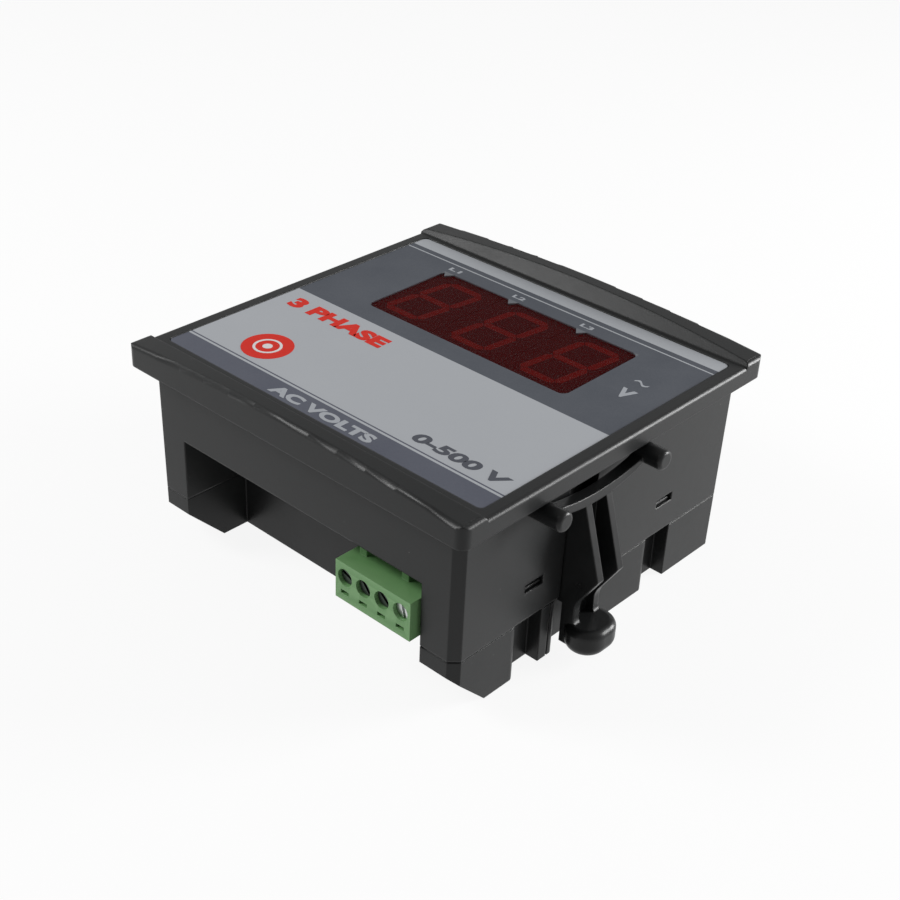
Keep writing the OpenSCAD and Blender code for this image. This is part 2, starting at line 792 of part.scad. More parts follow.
// The space inside the plug for one pole, at the pole's own X
module pole_cut() {
    pocket_top = mate_top - 1.4;
    entry_w = 3.4;
    entry_y = tongue_y + tongue_t - 0.2;
    // Screw hole, its ledge and the chamber of the rising cage
    translate([0, screw_face - over, hole_z])
        rotate([-90, 0, 0]) cylinder(d = hole_d, h = ledge_y - screw_face + over);
    translate([0, ledge_y - over, hole_z])
        rotate([-90, 0, 0]) cylinder(d = clamp_screw_d + 2 * thread_gap, h = ledge_t + 2 * over);
    block([-chamber_w / 2, chamber_y, hole_z - chamber_l / 2],
          [chamber_w / 2, cage_back + slide_gap, hole_z + chamber_l / 2]);
    // Wire entry from the rear
    block([-entry_w / 2, entry_y, plug_z - over],
          [entry_w / 2, entry_y + wire_gap + 0.4, hole_z - chamber_l / 2 + over]);
    // Small test recess under the screw
    block([-1.1, screw_face - over, hole_z - 4.1], [1.1, screw_face + 0.7, hole_z - 3.2]);
    // Slot and pocket for the spring contact, and the mouth for the pin
    block([-contact_w / 2 - seat_gap, tongue_y - seat_gap, hole_z],
          [contact_w / 2 + seat_gap, pin_y + contact_w / 2 + seat_gap, pocket_top]);
    block([-pin_w / 2 - slide_gap, pin_y - pin_w / 2 - slide_gap, pocket_top - over],
          [pin_w / 2 + slide_gap, pin_y + pin_w / 2 + slide_gap, mate_top + over]);
}

module terminal_plug() {
    color("#5fb866")
    difference() {
        union() {
            block([plug_x - plug_w / 2, screw_face, plug_z], [plug_x + plug_w / 2, plug_back, block_top]);
            block([plug_x - plug_w / 2 + mate_side, mate_front, plug_z],
                  [plug_x + plug_w / 2 - mate_side, mate_back, mate_top]);
            for (x = rib_places())
                block([x - key_rib_w / 2, mate_front - key_rib_t, plug_z],
                      [x + key_rib_w / 2, mate_front + over, key_rib_top]);
        }
        for (i = [0 : poles - 1]) translate([pole_x(i), 0, 0]) pole_cut();
    }
}

// Spring contacts: a tongue in the cage below and a square sleeve round the pin above
module plug_contacts() {
    sleeve_top = mate_top - 1.6;
    inner = pin_w / 2 + slide_gap;
    color("#c9b26a")
    for (i = [0 : poles - 1]) translate([pole_x(i), 0, 0]) {
        block([-contact_w / 2, tongue_y, hole_z - chamber_l / 2 + seat_gap],
              [contact_w / 2, tongue_y + tongue_t, sleeve_top]);
        difference() {
            block([-contact_w / 2, tongue_y, block_top + 0.8],
                  [contact_w / 2, pin_y + contact_w / 2, sleeve_top]);
            block([-inner, pin_y - inner, block_top], [inner, pin_y + inner, mate_top]);
        }
    }
}

module terminal_screw(i, turn) {
    slot_w = 0.7;
    slot_d = 0.8;
    color("#c4c6c4")
    translate([pole_x(i), screw_face + head_sink, hole_z])
        difference() {
            rotate([-90, 0, 0]) {
                cylinder(d = head_d, h = head_t);
                cylinder(d = clamp_screw_d, h = tongue_y - screw_face - head_sink - 0.1);
            }
            rotate([0, turn, 0]) block([-head_d, -over, -slot_w / 2], [head_d, slot_d, slot_w / 2]);
        }
}

module terminal_screw_1() { terminal_screw(0, 20); }
module terminal_screw_2() { terminal_screw(1, 50); }
module terminal_screw_3() { terminal_screw(2, 40); }
module terminal_screw_4() { terminal_screw(3, 75); }

// Rising cage: a closed frame round tongue and wire, threaded on the screw
module wire_clamp(i) {
    cage_w = chamber_w - 0.4;
    cage_l = chamber_l - 0.4;
    side = 0.5;
    color("#b9a86c")
    translate([pole_x(i), 0, hole_z])
        difference() {
            block([-cage_w / 2, cage_y, -cage_l / 2], [cage_w / 2, cage_back, cage_l / 2]);
            block([-cage_w / 2 + side, cage_y + cage_wall, -cage_l],
                  [cage_w / 2 - side, tongue_y + tongue_t + wire_gap, cage_l]);
            translate([0, cage_y - over, 0]) rotate([-90, 0, 0])
                cylinder(d = clamp_screw_d + 2 * thread_gap, h = cage_wall + 2 * over);
        }
}

module wire_clamp_1() { wire_clamp(0); }
module wire_clamp_2() { wire_clamp(1); }
module wire_clamp_3() { wire_clamp(2); }
module wire_clamp_4() { wire_clamp(3); }

// Places of the parts on the main board, seen from the front
core_at = [-0.18 * board_w, 14];
capacitor_at = [0.285 * board_w, 27];
varistor_at = [0.335 * board_w, 4];
resistors_at = [0.18 * board_w, -12];
resistor_pitch = 0.1 * board_w;
lead_gap = 5;
lead_d = 0.8;

module at_leads() {
    for (side = [-1, 1])
        translate([varistor_at[0] + side * lead_gap / 2, varistor_at[1], main_z]) children();
}

module main_board() {
    color("#1f5c3a")
    difference() {
        block([-board_w / 2, main_low, main_z],
              [board_w / 2, case_half(half_h, 0) - wall - board_gap, main_top]);
        screw_holes(main_z);
        link_holes(main_z);
        at_leads() translate([0, 0, -over]) cylinder(d = lead_d + 2 * seat_gap, h = board_t + 2 * over);
    }
}

// Transformer: a laminated frame with a middle leg, and the wound bobbin on that leg
core = [32, 11, 24];
core_leg = 8;
core_yoke = 4.5;

module core_windows(extra) {
    open_w = (core[0] - core_leg) / 2 - core_yoke;
    for (side = [-1, 1])
        translate([side * (core_leg / 2 + open_w / 2), 0, core[2] / 2])
            cube([open_w + extra, core[1] + 2 * over, core[2] - 2 * core_yoke + extra], center = true);
}

module transformer_core() {
    color("#8a8c90")
    translate([core_at[0], core_at[1], main_top])
        difference() {
            translate([-core[0] / 2, -core[1] / 2, 0]) cube(core);
            core_windows(0);
        }
}

module transformer_coil() {
    open_w = (core[0] - core_leg) / 2 - core_yoke;
    wound = [core_leg + 2 * open_w - 2 * seat_gap, core[1] + 2 * open_w - 2 * seat_gap];
    tall = core[2] - 2 * core_yoke - 2 * seat_gap;
    cheek = 1;
    color("#c9a94a")
    translate([core_at[0], core_at[1], main_top + core_yoke + seat_gap])
        difference() {
            union() {
                for (z = [0, tall - cheek])
                    translate([-wound[0] / 2, -wound[1] / 2, z]) cube([wound[0], wound[1], cheek]);
                translate([-wound[0] / 2 + cheek, -wound[1] / 2 + cheek, 0])
                    cube([wound[0] - 2 * cheek, wound[1] - 2 * cheek, tall]);
            }
            cube([core_leg + 2 * seat_gap, core[1] + 2 * seat_gap, 3 * tall], center = true);
        }
}

module capacitor() {
    can_d = 12.5;
    can_h = 20;
    bead = 0.6;
    color("#23345e")
    translate([capacitor_at[0], capacitor_at[1], main_top])
        rotate_extrude()
            polygon([[0, 0], [can_d / 2 - bead, 0], [can_d / 2, bead], [can_d / 2, 2.2],
                     [can_d / 2 - bead, 2.8], [can_d / 2, 3.4], [can_d / 2, can_h - bead],
                     [can_d / 2 - bead, can_h], [0, can_h]]);
}

module varistor() {
    disc_d = 11;
    disc_t = 4.2;
    color("#2d5fa0") {
        translate([varistor_at[0], varistor_at[1], main_top + disc_d / 2 + 1.5]) rotate([90, 0, 0])
            cylinder(d = disc_d, h = disc_t, center = true);
        at_leads() cylinder(d = lead_d, h = board_t + 5);
    }
}

module input_resistors() {
    body_d = 3.2;
    body_l = 9;
    color("#7fa8b4")
    for (i = [0 : 2])
        translate([resistors_at[0] + i * resistor_pitch, resistors_at[1], main_top + body_d / 2])
            rotate([90, 0, 0])
            rotate_extrude()
                polygon([[0, -body_l / 2], [body_d / 2 - 0.3, -body_l / 2], [body_d / 2, -body_l / 2 + 0.6],
                         [body_d / 2, -body_l / 2 + 2], [body_d / 2 - 0.3, -body_l / 2 + 2.6],
                         [body_d / 2 - 0.3, body_l / 2 - 2.6], [body_d / 2, body_l / 2 - 2],
                         [body_d / 2, body_l / 2 - 0.6], [body_d / 2 - 0.3, body_l / 2], [0, body_l / 2]]);
}

module link_pins() {
    color("#c8c8c4")
    for (i = [0 : link_count - 1])
        translate([link_x(i), link_y, 0])
            block([-link_w / 2, -link_w / 2, main_z - 1.5], [link_w / 2, link_w / 2, board_top + 1.2]);
}

module link_strips() {
    strip_w = 2.5;
    length = link_count * link_pitch;
    color("#1d1e20")
    difference() {
        for (z = [main_top, board_z - strip_w])
            translate([link_x(0) - link_pitch / 2, link_y - strip_w / 2, z]) cube([length, strip_w, strip_w]);
        for (i = [0 : link_count - 1])
            translate([link_x(i), link_y, main_z])
                cube([link_w + 2 * thread_gap, link_w + 2 * thread_gap, 3 * board_top], center = true);
    }
}

// One self-tapping screw with its head down, its seat at the origin
module board_screw() {
    head = 5;
    tall = 1.8;
    recess = 0.9;
    difference() {
        union() {
            translate([0, 0, -tall]) cylinder(d = head, h = tall);
            cylinder(d = screw_d, h = screw_len - 0.5);
        }
        for (turn = [0, 90])
            rotate([0, 0, turn]) block([-1.4, -recess / 2, -tall - over], [1.4, recess / 2, -tall + recess]);
    }
}

module board_screws() {
    color("#9a9c9c") {
        at_screws() translate([0, 0, board_z]) board_screw();
        at_screws() translate([0, 0, main_top]) mirror([0, 0, 1]) board_screw();
    }
}

// Points along an arc, in equal steps
function arc_points(centre, r, from, to, steps) =
    [for (i = [0 : steps]) let (a = from + (to - from) * i / steps) centre + r * [cos(a), sin(a)]];

// Side view of a rib: up from the thumb pad, out along a slope to the knee, and back to the bar
module rib_outline(back, top_z) {
    pad_top = tab_z + tab_t;
    foot_r = 1.2;
    shin_x = half_w + 3.55;
    bend_r = 5;
    lean = 32;
    knee = [half_w + knee_reach, knee_z];
    knee_r = 0.8;
    head_x = half_w + 3.7;
    head_z = top_z + 0.5;
    back_lean = atan((knee[0] - head_x) / (head_z - knee[1]));
    bend_z = knee[1] - (knee[0] - shin_x - bend_r * (1 - cos(lean))) / tan(lean) - bend_r * sin(lean);
    // The knee's rounding touches both slopes
    low_side = [-cos(lean), sin(lean)];
    high_side = [-cos(back_lean), -sin(back_lean)];
    knee_at = knee + knee_r * (low_side + high_side) / (1 + low_side * high_side);
    polygon(concat([[back, neck_z], [shin_x + foot_r, neck_z]],
                   arc_points([shin_x + foot_r, pad_top + foot_r - 0.2], foot_r, 270, 180, 6),
                   arc_points([shin_x + bend_r, bend_z], bend_r, 180, 180 - lean, 8),
                   arc_points(knee_at, knee_r, -lean, back_lean, 5),
                   [[head_x, head_z], [back, head_z]]));
}

// Mounting clip, drawn on the right side of the case with its middle at Y = 0
module clip() {
    back = half_w + 0.35;
    web = back + web_t;
    peg_z = case_depth - slide_gap - peg_d / 2;
    top_z = peg_z - 4;
    round_in = 0.8;
    pawl_z = foot_z + 3.2;
    // Web, the two outer ribs and the neck that carries the thumb pad
    block([back, -stem_w / 2, neck_z], [web, stem_w / 2, top_z + 1]);
    for (side = [-1, 1])
        translate([0, side * (stem_w - rib_t) / 2, 0])
            rotate([90, 0, 0])
                linear_extrude(height = rib_t, center = true) rib_outline(back, top_z);
    block([back, -stem_w / 2, neck_z], [half_w + tab_reach - pad_r, stem_w / 2, tab_z + tab_t - 0.25]);
    // Neck through the mouth of the channel and the two wings behind its lips
    block([foot_x + 1, -stem_w / 2, foot_z], [back + 0.5, stem_w / 2, foot_top]);
    for (side = [-1, 1])
        block([foot_x, side * (stem_w / 2 - rib_t / 2 + wing_w / 2) - (wing_w + rib_t) / 2, foot_z],
              [foot_x + foot_t, side * (stem_w / 2 - rib_t / 2 + wing_w / 2) + (wing_w + rib_t) / 2, foot_top]);
    // Pawl that rides over the ratchet teeth
    rotate([90, 0, 0])
        linear_extrude(height = stem_w - 2 * rib_t - 4 * slide_gap, center = true)
            polygon([[foot_x + 1.1, pawl_z], [channel_x + tooth_h + seat_gap, pawl_z],
                     [channel_x + tooth_h + seat_gap, pawl_z + 0.4], [foot_x + 1.1, pawl_z + 1.6]]);
    // Bowed bar between the pegs
    bar(top_z);
    for (side = [-1, 1]) translate([back, side * peg_span / 2, peg_z]) rotate([0, 90, 0]) peg(round_in);
    intersection() {
        thumb_pad();
        block([back, -bezel_w, 0], [bezel_w, bezel_w, case_depth]);
    }
}

module peg(round_in) {
    length = peg_reach - 0.35;
    rotate_extrude()
        union() {
            square([peg_d / 2, length - round_in]);
            square([peg_d / 2 - round_in, length]);
            translate([peg_d / 2 - round_in, length - round_in]) circle(round_in, $fn = 24);
        }
}

// Bar: a crescent slice, thick in the middle, thin where it runs into the pegs
module bar(middle_z) {
    end_z = case_depth - peg_d * 0.75;
    rise_low = end_z - middle_z;
    bulge = 0.9;
    rise_high = rise_low - bulge;
    half = peg_span / 2;
    low_r = (half * half + rise_low * rise_low) / (2 * rise_low);
    high_r = (half * half + rise_high * rise_high) / (2 * rise_high);
    bar_in = half_w + 1.2;
    bar_out = half_w + 3.8;
    thick = 1.3;
    translate([bar_in, 0, 0]) rotate([90, 0, 90])
        linear_extrude(height = bar_out - bar_in)
            difference() {
                intersection() {
                    translate([0, middle_z + low_r]) circle(low_r, $fn = 180);
                    translate([-half, middle_z - over]) square([2 * half, 2 * rise_low + over]);
                }
                translate([0, middle_z + thick + bulge + high_r]) circle(high_r, $fn = 180);
                translate([-half - over, end_z + thick]) square([2 * half + 2 * over, 3 * peg_d]);
            }
}

// Thumb pad: a squat cushion, rounder below than above, its plan a disc drawn out sideways
module thumb_pad() {
    spread = tab_w / 2 - pad_r;
    translate([half_w + tab_reach - pad_r, 0, tab_z]) {
        for (side = [-1, 1]) translate([0, side * spread, 0]) rotate_extrude() pad_section();
        rotate([90, 0, 0])
            linear_extrude(height = 2 * spread, center = true) {
                pad_section();
                mirror([1, 0]) pad_section();
            }
    }
}

// Half of the pad's upright section, with a wide arc below and a tighter one above
module pad_section() {
    low_r = 2.4;
    top_r = 1.7;
    square([pad_r - low_r, tab_t / 2]);
    translate([0, tab_t / 2]) square([pad_r - top_r, tab_t / 2]);
    translate([0, low_r]) square([pad_r, tab_t - low_r - top_r]);
    intersection() {
        union() {
            translate([pad_r - low_r, low_r]) circle(low_r);
            translate([pad_r - top_r, tab_t - top_r]) circle(top_r);
        }
        square([pad_r + over, tab_t]);
    }
}

module clip_right() {
    color("#1f2122") translate([0, channel_y, 0]) clip();
}

module clip_left() {
    color("#1f2122") mirror([1, 0, 0]) translate([0, channel_y, 0]) clip();
}

front_housing();
rear_cover();
face_label();
red_filter();
display_1();
display_2();
display_3();
segments_1();
segments_2();
segments_3();
display_board();
controller_chip();
key_switch();
key_plunger();
terminal_header();
header_pins();
terminal_plug();
plug_contacts();
terminal_screw_1();
terminal_screw_2();
terminal_screw_3();
terminal_screw_4();
wire_clamp_1();
wire_clamp_2();
wire_clamp_3();
wire_clamp_4();
main_board();
transformer_core();
transformer_coil();
capacitor();
varistor();
input_resistors();
link_pins();
link_strips();
board_screws();
clip_right();
clip_left();
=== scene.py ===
import bpy
import numpy as np
from mathutils import Matrix, Vector


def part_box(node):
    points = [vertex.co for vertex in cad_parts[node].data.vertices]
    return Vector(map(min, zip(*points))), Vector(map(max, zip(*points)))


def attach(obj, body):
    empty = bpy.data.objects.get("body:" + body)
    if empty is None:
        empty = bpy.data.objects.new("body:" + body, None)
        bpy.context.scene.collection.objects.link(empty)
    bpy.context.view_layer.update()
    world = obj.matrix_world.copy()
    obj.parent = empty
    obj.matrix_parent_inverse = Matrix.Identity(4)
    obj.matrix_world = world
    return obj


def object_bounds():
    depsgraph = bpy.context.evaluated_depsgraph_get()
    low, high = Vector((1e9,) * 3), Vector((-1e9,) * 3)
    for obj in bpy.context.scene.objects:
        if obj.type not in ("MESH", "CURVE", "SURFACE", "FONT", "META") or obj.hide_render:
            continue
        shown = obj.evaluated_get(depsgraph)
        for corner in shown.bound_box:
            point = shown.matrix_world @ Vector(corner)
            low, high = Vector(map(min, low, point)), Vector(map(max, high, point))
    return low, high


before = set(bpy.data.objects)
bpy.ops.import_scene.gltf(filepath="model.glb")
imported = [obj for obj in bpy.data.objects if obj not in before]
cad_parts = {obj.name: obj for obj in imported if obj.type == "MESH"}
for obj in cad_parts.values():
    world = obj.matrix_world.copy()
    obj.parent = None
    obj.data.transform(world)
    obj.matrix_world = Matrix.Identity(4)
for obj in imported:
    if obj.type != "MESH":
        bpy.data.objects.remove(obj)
cad_low, cad_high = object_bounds()


# The front housing and the rear cover are two shells of black ABS, injection moulded and snapped together.
# Their outer faces carry the fine spark-eroded grain of the mould, faint flow clouds and specks of dust.
class Value:
    """A number that varies over a surface. Each operator adds the Math node that works it out."""

    def __init__(self, finish, socket):
        self.finish = finish
        self.socket = socket

    def math(self, operation, *operands):
        node = self.finish.add("ShaderNodeMath", {"operation": operation}, *operands)
        return Value(self.finish, node.outputs[0])

    def __add__(self, other):
        return self.math("ADD", self, other)

    def __sub__(self, other):
        return self.math("SUBTRACT", self, other)

    def __rsub__(self, other):
        return self.math("SUBTRACT", other, self)

    def __mul__(self, other):
        return self.math("MULTIPLY", self, other)

    def abs(self):
        return self.math("ABSOLUTE", self)

    def repeat(self, length):
        """How far the value is past the last whole multiple of the length."""
        return self.math("WRAP", self, length, 0.0)

    def beyond(self, edge, soft=4e-5):
        """0 below the edge and 1 above it, with a ramp as wide as soft between them."""
        ramp = self.math("MULTIPLY_ADD", self, 1 / soft, 0.5 - edge / soft)
        return ramp.math("MINIMUM", ramp.math("MAXIMUM", ramp, 0.0), 1.0)

    __radd__ = __add__
    __rmul__ = __mul__


class Finish:
    """A material with one Principled shader, whose other nodes all come from add()."""

    def __init__(self, name, **constants):
        self.material = bpy.data.materials.new(name)
        self.material.use_nodes = True
        self.tree = self.material.node_tree
        self.tree.nodes.clear()
        self.shader = self.add("ShaderNodeBsdfPrincipled", {}, **constants)
        output = self.add("ShaderNodeOutputMaterial")
        self.tree.links.new(self.shader.outputs[0], output.inputs["Surface"])

    def add(self, kind, settings=None, *inputs, **named):
        """A node of that kind, with its settings and with its sockets in order or by name.

        Each socket takes a number, a colour or a link.
        """
        node = self.tree.nodes.new(kind)
        for key, value in (settings or {}).items():
            if key == "stops":
                while len(node.color_ramp.elements) < len(value):
                    node.color_ramp.elements.new(1.0)
                for element, (position, colour) in zip(node.color_ramp.elements, value):
                    element.position, element.color = position, colour
            else:
                setattr(node, key, value)
        for key, value in list(enumerate(inputs)) + [(k.replace("_", " "), v) for k, v in named.items()]:
            self.set(node.inputs[key], value)
        return node

    def set(self, socket, value):
        """Links the socket to a value of the tree, or sets its own number or colour."""
        source = value.socket if isinstance(value, Value) else value
        if isinstance(source, bpy.types.NodeSocket):
            self.tree.links.new(source, socket)
        else:
            socket.default_value = (*source, 1.0) if socket.type == "RGBA" and len(source) == 3 else source

    def place(self):
        """The point on the surface, in metres, as a vector socket."""
        return self.add("ShaderNodeTexCoord").outputs["Object"]

    def along(self, axis):
        """How far the point lies along one axis, in metres."""
        return Value(self, self.add("ShaderNodeSeparateXYZ", {}, self.place()).outputs[axis])

    def noise(self, size, detail=3.0, rough=0.55):
        """Cloudy variation from 0 to 1, whose blotches are about as wide as size."""
        return Value(self, self.add("ShaderNodeTexNoise", {}, Vector=self.place(), Scale=1 / size,
                                    Detail=detail, Roughness=rough).outputs["Fac"])

    def blend(self, share, first, second):
        """The colour between two others at that share."""
        node = self.add("ShaderNodeMix", {"data_type": "RGBA"})
        for index, value in ((0, share), (6, first), (7, second)):
            self.set(node.inputs[index], value)
        return node.outputs[2]

    def relief(self, height, depth, edge=0.0):
        """Raises the surface by the height, in units of depth in metres, over corners that are rounded by edge."""
        bump = self.add("ShaderNodeBump", {}, Strength=1.0, Distance=depth, Height=height)
        if edge:
            self.set(bump.inputs["Normal"], self.add("ShaderNodeBevel", {"samples": 6}, Radius=edge).outputs[0])
        self.set(self.shader.inputs["Normal"], bump.outputs[0])


def dress(finish, *names):
    """Gives CAD nodes that finish."""
    for name in names:
        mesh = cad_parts[name].data
        mesh.materials.clear()
        mesh.materials.append(finish.material)


speck_spacing = 0.0042
speck_reach = 0.026
speck_softness = 0.02
dust_grey = (0.30, 0.30, 0.30)


def moulded(name, colour, pale, rough, grain, depth, edge, level=0.5, dust=0.0):
    """Moulded plastic: colour in faint clouds, a roughness that wanders, a fine grain and specks of dust."""
    finish = Finish(name, Specular_IOR_Level=level)
    clouds = finish.noise(0.014)
    fine = finish.noise(0.0016, 2.0)
    body = finish.blend(clouds * 0.7 + fine * 0.3, colour, pale)
    if dust:
        cells = finish.add("ShaderNodeTexVoronoi", {}, Vector=finish.place(), Scale=1 / speck_spacing)
        specks = 1 - Value(finish, cells.outputs["Distance"]).beyond(speck_reach, speck_softness)
        body = finish.blend(specks * dust, body, dust_grey)
    finish.set(finish.shader.inputs["Base Color"], body)
    finish.set(finish.shader.inputs["Roughness"], rough + 0.16 * (clouds - 0.5) + 0.10 * (fine - 0.5))
    finish.relief(finish.noise(grain, 2.0), depth, edge)
    return finish


housing_black = moulded("housing_black", (0.0125, 0.0130, 0.0132), (0.0175, 0.0182, 0.0184),
                        rough=0.36, grain=0.00028, depth=0.00002, edge=0.00055, level=0.24, dust=0.35)
cover_black = moulded("cover_black", (0.0115, 0.0120, 0.0122), (0.0160, 0.0166, 0.0168),
                      rough=0.38, grain=0.00030, depth=0.00002, edge=0.00045, level=0.22, dust=0.30)
dress(housing_black, "front_housing")
dress(cover_black, "rear_cover")


# The overlay is a polyester sheet of 0.4 mm, screen printed from behind and glued into the housing's shallow pocket.
# It has two pale fields, a slate one round the window and a blue-grey band, parted by thin lines.
overlay_top = Vector(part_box("face_label")[1]).z
slate_field = (-0.00225, 0.0355)
slate_line = (0.0335, 0.0339)
band_edge = -0.0342
band_line = (-0.0336, -0.0332)
pointer_rows = (0.0270, 0.0292)
pointer_reach = 0.0284
pale_ink = (0.365, 0.380, 0.402)
slate_ink = (0.0600, 0.0670, 0.0815)
band_ink = (0.0740, 0.0800, 0.1050)
pointer_ink = (0.1150, 0.1220, 0.1350)
red_ink = (0.560, 0.030, 0.020)
mesh_pale = (0.62, 0.63, 0.66)

overlay_print = Finish("overlay_print", Specular_IOR_Level=0.06)
across_x = overlay_print.along("X")
across_y = overlay_print.along("Y")


def stripe(low, high):
    """1 between two heights on the overlay and 0 elsewhere."""
    return across_y.beyond(low) * (1 - across_y.beyond(high))


slate_mask = stripe(*slate_field) * (1 - stripe(*slate_line))
band_mask = (1 - across_y.beyond(band_edge)) + stripe(*band_line)
print_cloud = overlay_print.noise(0.012)
print_speck = overlay_print.noise(0.00035, 2.0)
printed = overlay_print.blend(slate_mask, pale_ink, slate_ink)
printed = overlay_print.blend(band_mask, printed, band_ink)
pointers = stripe(*pointer_rows) * (1 - across_x.abs().beyond(pointer_reach))
printed = overlay_print.blend(pointers, printed, pointer_ink)
unevenness = (print_cloud * 0.6 + print_speck * 0.4) * 0.10
printed = overlay_print.blend(unevenness, printed, mesh_pale)
overlay_print.set(overlay_print.shader.inputs["Base Color"], printed)
overlay_print.set(overlay_print.shader.inputs["Roughness"], 0.46 + 0.12 * (print_cloud - 0.5))
overlay_print.relief(print_speck, 0.000006)
dress(overlay_print, "face_label")


# The printed legends: grey phase numbers and unit on the slate, red words and a red disc on the pale field.
# Each is an ink film a few hundredths of a millimetre thick, so each is a thin solid on the overlay.
def ink(name, colour):
    """Opaque screen ink, with the faint unevenness of the mesh that it was pressed through."""
    finish = Finish(name, Specular_IOR_Level=0.06)
    patch = finish.noise(0.0007, 2.0)
    thin = [min(1.0, 1.25 * part + 0.02) for part in colour]
    finish.set(finish.shader.inputs["Base Color"], finish.blend(patch * 0.35, colour, thin))
    finish.set(finish.shader.inputs["Roughness"], 0.42 + 0.12 * patch)
    finish.relief(patch, 0.000004)
    return finish


grey_ink = ink("grey_ink", (0.330, 0.345, 0.370))
dark_ink = ink("dark_ink", (0.075, 0.080, 0.095))
red_film_ink = ink("red_ink", red_ink)
white_ink = ink("white_ink", (0.62, 0.60, 0.60))
ink_thickness = 0.00003
ink_sink = 0.000004
ink_base = overlay_top - ink_sink


def add_piece(name, mesh, finish, body):
    """Makes an object of a mesh that is already in place, gives it its finish and lets it ride on its body."""
    piece = bpy.data.objects.new(name, mesh)
    bpy.context.scene.collection.objects.link(piece)
    mesh.materials.clear()
    mesh.materials.append(finish.material)
    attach(piece, body)


def legend(name, words, centre, width, height, finish, weight=0.02, lean=0.0):
    """Words as a thin solid on the overlay: font outlines swollen by weight and stretched to size."""
    curve = bpy.data.curves.new(name, "FONT")
    curve.body = words
    curve.offset = weight
    curve.shear = lean
    curve.resolution_u = 4
    curve.extrude = 0.01
    source = bpy.data.objects.new(name + "_outline", curve)
    bpy.context.scene.collection.objects.link(source)
    bpy.context.view_layer.update()
    mesh = bpy.data.meshes.new_from_object(source)
    bpy.data.objects.remove(source)
    mesh.name = name
    points = np.empty(len(mesh.vertices) * 3)
    mesh.vertices.foreach_get("co", points)
    points = points.reshape(-1, 3)
    low, high = points.min(axis=0), points.max(axis=0)
    size = np.array([width, height, ink_thickness])
    points = (points - (low + high) / 2) / (high - low) * size
    points += np.array([centre[0], centre[1], ink_base + ink_thickness / 2])
    mesh.vertices.foreach_set("co", points.ravel())
    mesh.update()
    add_piece(name, mesh, finish, "meter")


for number, left in enumerate((-0.0270, -0.0072, 0.0126), start=1):
    legend(f"phase_mark_{number}", f"L{number}", (left, 0.0313), 0.0034, 0.0015, grey_ink, 0.03)
legend("unit_mark", "V", (0.0366, 0.0135), 0.0037, 0.0040, grey_ink, 0.05)
legend("range_legend", "0-500 V", (0.0306, -0.0298), 0.0238, 0.0034, dark_ink, 0.045, 0.12)
legend("kind_legend", "AC VOLTS", (0.00015, -0.0372), 0.0290, 0.0031, grey_ink, 0.05)
legend("phase_legend", "3 PHASE", (-0.0263, -0.00755), 0.0292, 0.0046, red_film_ink, 0.06)


def bar(name, rows, finish, capped):
    """A bar on the overlay along four rows of points, with quads between neighbouring rows and a cap at each end."""
    count = len(rows[0])
    near = np.arange(count - 1)
    faces = []
    for one, other in ((0, 1), (1, 2), (2, 3), (3, 0)):
        corners = [one * count + near, other * count + near, other * count + near + 1, one * count + near + 1]
        faces += np.stack(corners, axis=1).tolist()
    if capped:
        faces.append([3 * count, 2 * count, count, 0])
        faces.append([count - 1, 2 * count - 1, 3 * count - 1, 4 * count - 1])
    mesh = bpy.data.meshes.new(name)
    mesh.from_pydata(np.concatenate(rows).tolist(), [], faces)
    mesh.update()
    add_piece(name, mesh, finish, "meter")


def ring(name, centre, inner, outer, height, finish, steps=96):
    """A flat washer of that height, from the inner radius to the outer one."""
    angle = np.linspace(0.0, 2 * np.pi, steps + 1)
    rows = []
    for radius, rise in ((inner, 0.0), (outer, 0.0), (outer, height), (inner, height)):
        level = np.full_like(angle, ink_base + rise)
        rows.append(np.stack([centre[0] + radius * np.cos(angle), centre[1] + radius * np.sin(angle), level], axis=1))
    bar(name, rows, finish, False)


key_centre = (-0.0282, -0.0263)
pin_hole = 0.000001
ring("key_disc", key_centre, pin_hole, 0.0057, ink_thickness, red_film_ink)
ring("key_ring", key_centre, 0.0026, 0.0032, 2 * ink_thickness, white_ink)
ring("key_dot", key_centre, pin_hole, 0.0011, 2 * ink_thickness, white_ink, steps=48)


def wave(name, centre, width, rise, thickness, finish, steps=40):
    """The sign for alternating current: a band of even thickness along one turn of a sine."""
    run = np.linspace(-0.5, 0.5, steps + 1)
    middle = rise / 2 * np.sin(-2 * np.pi * run)
    rows = []
    for side, rise_of_row in ((-1, 0.0), (1, 0.0), (1, ink_thickness), (-1, ink_thickness)):
        level = np.full_like(run, ink_base + rise_of_row)
        rows.append(np.stack([centre[0] + width * run, centre[1] + middle + side * thickness / 2, level], axis=1))
    bar(name, rows, finish, True)


wave("current_sign", (0.0365, 0.01925), 0.0036, 0.0012, 0.0006, grey_ink)


# The window is a clear red film over three seven-segment light displays, none of them lit.
# The displays' faces are dark red, and their light wells of cloudy resin show through the film as paler bars.
window_film = Finish("window_film", Base_Color=(0.045, 0.0030, 0.0032, 1.0), Specular_IOR_Level=0.05)
film_cloud = window_film.noise(0.010)
window_film.set(window_film.shader.inputs["Roughness"], 0.24 + 0.10 * film_cloud)
window_film.set(window_film.shader.inputs["Alpha"], 0.22 + 0.05 * film_cloud)
window_film.relief(window_film.noise(0.0010, 2.0), 0.000002)
dress(window_film, "red_filter")

display_red = moulded("display_red", (0.044, 0.0030, 0.0032), (0.054, 0.0040, 0.0042),
                      rough=0.5, grain=0.0004, depth=0.000004, edge=0.0, level=0.03)
dress(display_red, "display_1", "display_2", "display_3")

